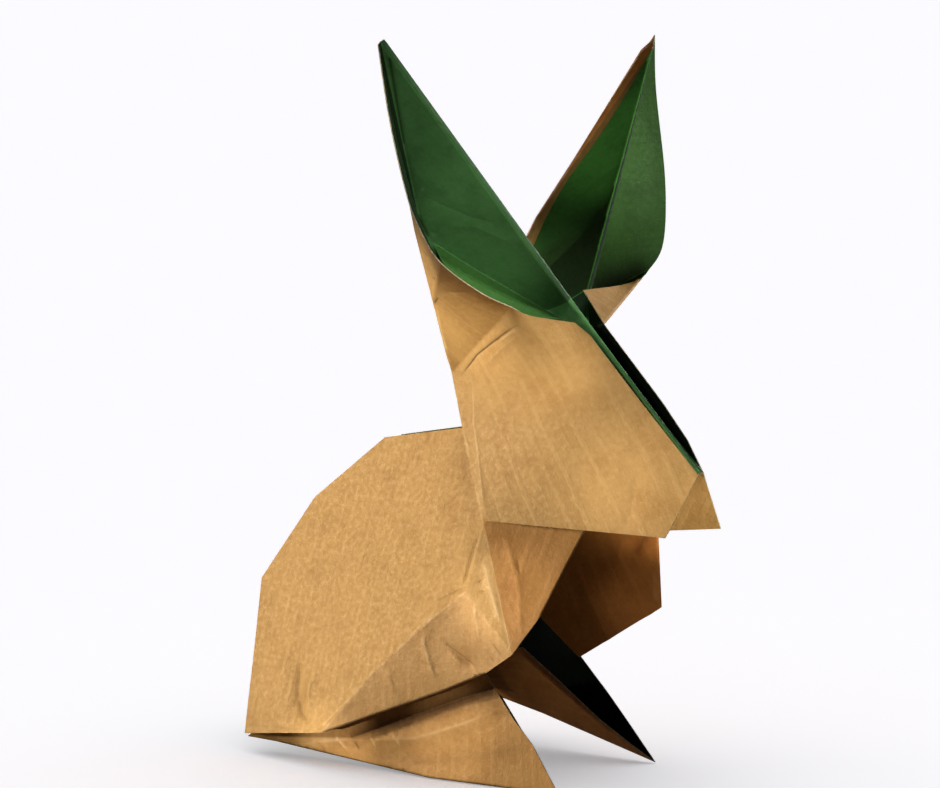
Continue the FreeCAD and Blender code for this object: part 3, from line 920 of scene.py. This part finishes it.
def paper_mesh(sheet, frames):
    """Give the surface its thickness, as one closed mesh with a brown and a green side."""
    points = np.array(sheet.points)
    lean = point_normals(points, np.array(sheet.facets))
    shift = np.array((-FORWARD_SHIFT, 0, GROUND_SHIFT))
    sides = np.concatenate((points + lean * PAPER / 2, points - lean * PAPER / 2))
    total, count = len(points), len(sheet.facets)
    directed = {}
    for index, facet in enumerate(sheet.facets):
        for pair in pairs_round(facet):
            directed[pair] = index
    rims = [(start, end) for start, end in directed if (end, start) not in directed]
    faces = sheet.facets + [[number + total for number in facet[::-1]] for facet in sheet.facets]
    faces += [(end, start, start + total, end + total) for start, end in rims]
    panels = sheet.facet_panel * 2 + [sheet.facet_panel[directed[pair]] for pair in rims]

    mesh = bpy.data.meshes.new("folded_paper")
    mesh.from_pydata(((sides + shift) / 1000).tolist(), [], faces)
    materials = np.full(len(faces), CUT_EDGE, np.int32)
    materials[:count] = BROWN_SIDE
    materials[count:2 * count] = GREEN_SIDE
    mesh.polygons.foreach_set("material_index", materials)
    mesh.polygons.foreach_set("use_smooth", materials != CUT_EDGE)
    gaps = [min(GAP_CAP, sheet.fold_gap[number]) for number in range(total)]
    add_values(mesh, "fold_gap", gaps * 2)
    # Crease marks, which paint shade and highlights, on the side where they show.
    marks = [sheet.marks[number][side] for side in (0, 1) for number in range(total)]
    add_values(mesh, "crease_light_and_shade", marks)
    # Each facet's painted light and shade, from its panel.
    light_paint = panel_tints(BROWN_PAINTED_LIGHT, panels[:count])
    light_paint += panel_tints(GREEN_PAINTED_LIGHT, panels[count:2 * count])
    light_paint = np.array(light_paint + [(1, 1, 1, 1)] * len(rims), np.float32)
    mesh.attributes.new("panel_light_paint", "FLOAT_COLOR", "FACE").data.foreach_set("color", light_paint.ravel())
    add_sheet_map(mesh, points, frames, panels)
    sharpen_rims(mesh, rims, total)
    mesh.update()
    return mesh


def fold_paper():
    """Build the folded sheet as one mesh."""
    stretches = all_stretches()
    loops = all_loops()
    ribs, cuts = face_one_way(loops, stretches)
    sheet = Sheet()
    frames = {}
    for name, loop in loops.items():
        normal = loop_plane(stretches.round(loop))[1]
        frames[name] = (np.cross(ribs[name], normal), ribs[name])
        if "_fold_" in name:
            add_narrow_fold(sheet, name, loop, stretches, NARROW_FOLDS[int(name[-1])][2])
        else:
            add_panel(sheet, name, loop, stretches, cuts)
    return paper_mesh(sheet, frames)


class Nodes:
    """A material's or the world's nodes, made and joined in short steps."""

    def __init__(self, owner):
        owner.use_nodes = True
        self.owner = owner
        self.tree = owner.node_tree

    def put(self, socket, value):
        """Join a socket to another one, or set it to a plain value."""
        if isinstance(value, bpy.types.NodeSocket):
            self.tree.links.new(value, socket)
        else:
            socket.default_value = value

    def node(self, kind, inputs=(), output=0, **settings):
        """Make a node, with inputs in order or by name, and give back one output."""
        node = self.tree.nodes.new("ShaderNode" + kind)
        for key, value in settings.items():
            setattr(node, key, value)
        for key, value in inputs.items() if isinstance(inputs, dict) else enumerate(inputs):
            self.put(node.inputs[key], value)
        return node.outputs[output]

    def surface(self, **values):
        """Set inputs of the surface, by their names with _ for each space."""
        for name, value in values.items():
            self.put(self.tree.nodes["Principled BSDF"].inputs[name.replace("_", " ")], value)

    def math(self, operation, *values):
        return self.node("Math", values, operation=operation)

    def fit(self, value, low, high, start=0.0, end=1.0):
        """Go smoothly from start, where the value is low, to end, where it is high."""
        values = (value, low, high, start, end)
        return self.node("MapRange", values, interpolation_type="SMOOTHSTEP")

    def mix(self, share, first, second, kind="MIX"):
        inputs = {0: share, 6: first, 7: second}
        return self.node("Mix", inputs, 2, data_type="RGBA", blend_type=kind)

    def noise(self, place, scale, detail=2.0, rough=0.5):
        inputs = {"Vector": place, "Scale": scale, "Detail": detail, "Roughness": rough}
        return self.node("TexNoise", inputs)

    def stretch(self, place, scale):
        return self.node("Mapping", {"Vector": place, "Scale": scale})

    def solid_mm(self):
        """Places in the object, in millimetres."""
        return self.stretch(self.node("TexCoord", output="Object"), (1000,) * 3)

    def value(self, name, output="Fac"):
        """A value kept on the mesh."""
        return self.node("Attribute", output=output, attribute_name=name)

    def bump(self, height, distance, strength=1.0):
        """A fine relief, at a distance in metres."""
        return self.node("Bump", {"Height": height, "Distance": distance, "Strength": strength})


def rib_pattern(nodes, flat):
    """The soft parallel ribs, which waver and fade out in patches."""
    across = nodes.node("SeparateXYZ", (flat,))
    turn = nodes.math("MULTIPLY", across, 2 * math.pi / RIB_PITCH)
    wobble = nodes.math("MULTIPLY", nodes.noise(flat, 0.05, 1), RIB_WOBBLE)
    rib = nodes.fit(nodes.math("SINE", nodes.math("ADD", turn, wobble)), 0, 1)
    patch = nodes.noise(nodes.stretch(flat, PATCH_STRETCH), 1)
    return nodes.math("MULTIPLY", rib, nodes.fit(patch, 0.35, 0.65, 0.1, 1))


def paper_side(name, colours, rib_strength, wear_strength, metallic):
    """One side of the sheet: ribs, fibres, mottling, worn folds, crease marks that paint shade
    and highlights, and each panel's painted light and shade.
    """
    dark, plain, light, wear_and_highlight = colours
    nodes = Nodes(bpy.data.materials.new(name))
    flat = nodes.node("UVMap", uv_map="sheet_mm")
    rib = rib_pattern(nodes, flat)
    fibre = nodes.noise(nodes.stretch(flat, FIBRE_STRETCH), *FIBRE)
    grain = nodes.noise(flat, *GRAIN)
    speck = nodes.noise(flat, *SPECK)
    cloud = nodes.noise(flat, *CLOUD)
    wear = nodes.fit(nodes.value("fold_gap"), 0, 0.4, wear_strength, 0)
    worn_in_places = nodes.fit(nodes.noise(nodes.solid_mm(), 0.5, 3), 0.35, 0.7)
    mark = nodes.value("crease_light_and_shade")

    tone = nodes.mix(nodes.fit(cloud, 0.2, 0.6), dark, plain)
    for share, colour in (
            (nodes.fit(grain, 0.5, 0.75, 0, 0.3), light),
            (nodes.fit(grain, 0.5, 0.3, 0, 0.25), dark),
            (nodes.math("MULTIPLY", rib, rib_strength), light),
            (nodes.fit(fibre, 0.45, 0.8, 0, 0.24), light),
            (nodes.fit(speck, 0.52, 0.8, 0, 0.3), dark),
            (nodes.math("MULTIPLY", wear, worn_in_places), wear_and_highlight),
            # Crease marks above zero: painted highlights in the worn colour.
            (nodes.fit(mark, 0, 1), wear_and_highlight)):
        tone = nodes.mix(share, tone, colour)
    # Crease marks below zero: painted shade.
    tone = nodes.mix(nodes.fit(mark, 0, -1), tone, CREASE_SHADE, "MULTIPLY")
    # Each panel's painted light and shade.
    tone = nodes.mix(1, tone, nodes.value("panel_light_paint", "Color"), "MULTIPLY")

    height = nodes.math("MULTIPLY", rib, 0.05)
    for relief, share in ((fibre, 0.06), (grain, 0.12), (speck, 0.05)):
        height = nodes.math("ADD", height, nodes.math("MULTIPLY", relief, share))
    nodes.surface(Base_Color=tone, Normal=nodes.bump(height, 0.001, 0.6), Metallic=metallic,
                  Roughness=nodes.fit(grain, 0.3, 0.7, 0.7, 0.5), Specular_IOR_Level=PAPER_SHINE)
    return nodes.owner


def cut_edge():
    """The pale fibres along a cut edge."""
    nodes = Nodes(bpy.data.materials.new("cut_edge"))
    fray = nodes.noise(nodes.solid_mm(), *FRAY)
    tone = nodes.mix(nodes.fit(fray, 0.35, 0.65), CUT_DARK, CUT_PALE)
    nodes.surface(Base_Color=tone, Normal=nodes.bump(fray, 0.0005), Roughness=0.85)
    return nodes.owner


def add_object(name, data):
    """Put a new object in the scene."""
    made = bpy.data.objects.new(name, data)
    bpy.context.scene.collection.objects.link(made)
    return made


def add_floor():
    """A wide white table top that keeps the rabbit's shadow."""
    mesh = bpy.data.meshes.new("table_top")
    corners = np.array(((-1, -1, 0), (1, -1, 0), (1, 1, 0), (-1, 1, 0))) * TABLE_REACH
    mesh.from_pydata(corners.tolist(), [], [(0, 1, 2, 3)])
    floor = add_object("table_top", mesh)
    nodes = Nodes(bpy.data.materials.new("table_white"))
    grain = nodes.noise(nodes.node("TexCoord", output="Object"), 60, 1)
    rays = nodes.node("LightPath", output="Is Camera Ray")
    darker = tuple(TABLE_MOTTLE * part for part in FLOOR_COLOUR[:3]) + (1,)
    seen = nodes.mix(grain, FLOOR_COLOUR, darker)
    glow = nodes.math("MULTIPLY", rays, FLOOR_GLOW_STRENGTH)
    nodes.surface(Base_Color=nodes.mix(rays, FLOOR_BOUNCE, seen), Emission_Color=FLOOR_GLOW,
                  Emission_Strength=glow, Roughness=1, Specular_IOR_Level=0)
    mesh.materials.append(nodes.owner)
    return floor


def add_world():
    """White surroundings: white to the camera, and dim as light."""
    world = bpy.data.worlds.new("white_room")
    bpy.context.scene.world = world
    nodes = Nodes(world)
    shine = nodes.tree.nodes["Background"]
    nodes.put(shine.inputs["Color"], (1, 1, 1, 1))
    nodes.put(shine.inputs["Strength"], ROOM_LIGHT)
    seen = nodes.node("Background", (BACKDROP,))
    rays = nodes.node("LightPath", output="Is Camera Ray")
    either = nodes.node("MixShader", (rays, shine.outputs[0], seen))
    nodes.put(nodes.tree.nodes["World Output"].inputs["Surface"], either)


def direction_from(left, above):
    """Unit vector towards a light, from its degrees left and above."""
    turn = math.radians(CAMERA_TURN - left)
    flat = Vector((math.sin(turn), -math.cos(turn), 0))
    return flat * math.cos(math.radians(above)) + Vector((0, 0, math.sin(math.radians(above))))


def lit_alone(name, piece):
    """A group of one piece, for lamps that light nothing else."""
    group = bpy.data.collections.new(name)
    group.objects.link(piece)
    return group


def add_lamp(data, direction, lit):
    """Put a lamp in the scene, shining on one group only."""
    lamp = add_object(data.name, data)
    lamp.rotation_mode = "QUATERNION"
    lamp.rotation_quaternion = (-direction).to_track_quat("-Z", "Y")
    lamp.light_linking.receiver_collection = lit
    return lamp


def add_suns(floor):
    """Wide soft light from above and behind, on the table top only."""
    table_only = lit_alone("table_only", floor)
    for name, left, above, strength, spread in SUNS:
        data = bpy.data.lights.new(name, "SUN")
        data.energy = strength
        data.angle = math.radians(spread)
        add_lamp(data, direction_from(left, above), table_only)


def add_spots(paper):
    """Soft lamps all round that light the paper only."""
    paper_only = lit_alone("paper_only", paper)
    for name, aim, radius, blend, lamps in SPOTS:
        place = Vector((aim[0] - FORWARD_SHIFT, aim[1], aim[2] + GROUND_SHIFT)) / 1000
        for number, (left, above, level) in enumerate(lamps, 1):
            label = name + "_" + str(number) if len(lamps) > 1 else name
            data = bpy.data.lights.new(label, "SPOT")
            data.energy = level * 4 * math.pi ** 2 * SPOT_DISTANCE ** 2
            data.shadow_soft_size = SPOT_SIZE * radius / 1000
            data.spot_size = 2 * math.atan(radius / 1000 / SPOT_DISTANCE)
            data.spot_blend = blend
            direction = direction_from(left, above)
            lamp = add_lamp(data, direction, paper_only)
            lamp.location = place + direction * SPOT_DISTANCE


def add_camera():
    """The camera, to the rabbit's front right."""
    data = bpy.data.cameras.new("camera")
    data.sensor_width = SENSOR_WIDTH
    data.lens = CAMERA_LENS
    data.clip_start = NEAREST
    data.clip_end = FARTHEST
    camera = add_object("camera", data)
    forward, out, up = CAMERA_PLACE
    camera.location = (forward - FORWARD_SHIFT / 1000, out, up + GROUND_SHIFT / 1000)
    camera.rotation_euler = (math.radians(90 - CAMERA_TIP), 0, math.radians(CAMERA_TURN))
    bpy.context.scene.camera = camera


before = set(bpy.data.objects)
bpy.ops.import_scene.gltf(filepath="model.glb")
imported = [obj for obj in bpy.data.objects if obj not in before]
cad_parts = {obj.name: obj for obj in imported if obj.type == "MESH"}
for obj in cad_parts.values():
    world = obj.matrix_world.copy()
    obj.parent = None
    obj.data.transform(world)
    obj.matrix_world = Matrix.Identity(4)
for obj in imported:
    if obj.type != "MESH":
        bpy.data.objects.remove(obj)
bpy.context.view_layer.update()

paper = add_object("folded_paper", fold_paper())
brown = paper_side("brown_kraft", BROWN, rib_strength=0.25, wear_strength=0.4, metallic=0.12)
green = paper_side("green_side", GREEN, rib_strength=0.12, wear_strength=0.04, metallic=0)
for material in (brown, green, cut_edge()):
    paper.data.materials.append(material)
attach(paper, "root")
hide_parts("folded_sheet")

add_world()
add_suns(add_floor())
add_spots(paper)
add_camera()
bpy.context.scene.view_settings.view_transform = "Standard"
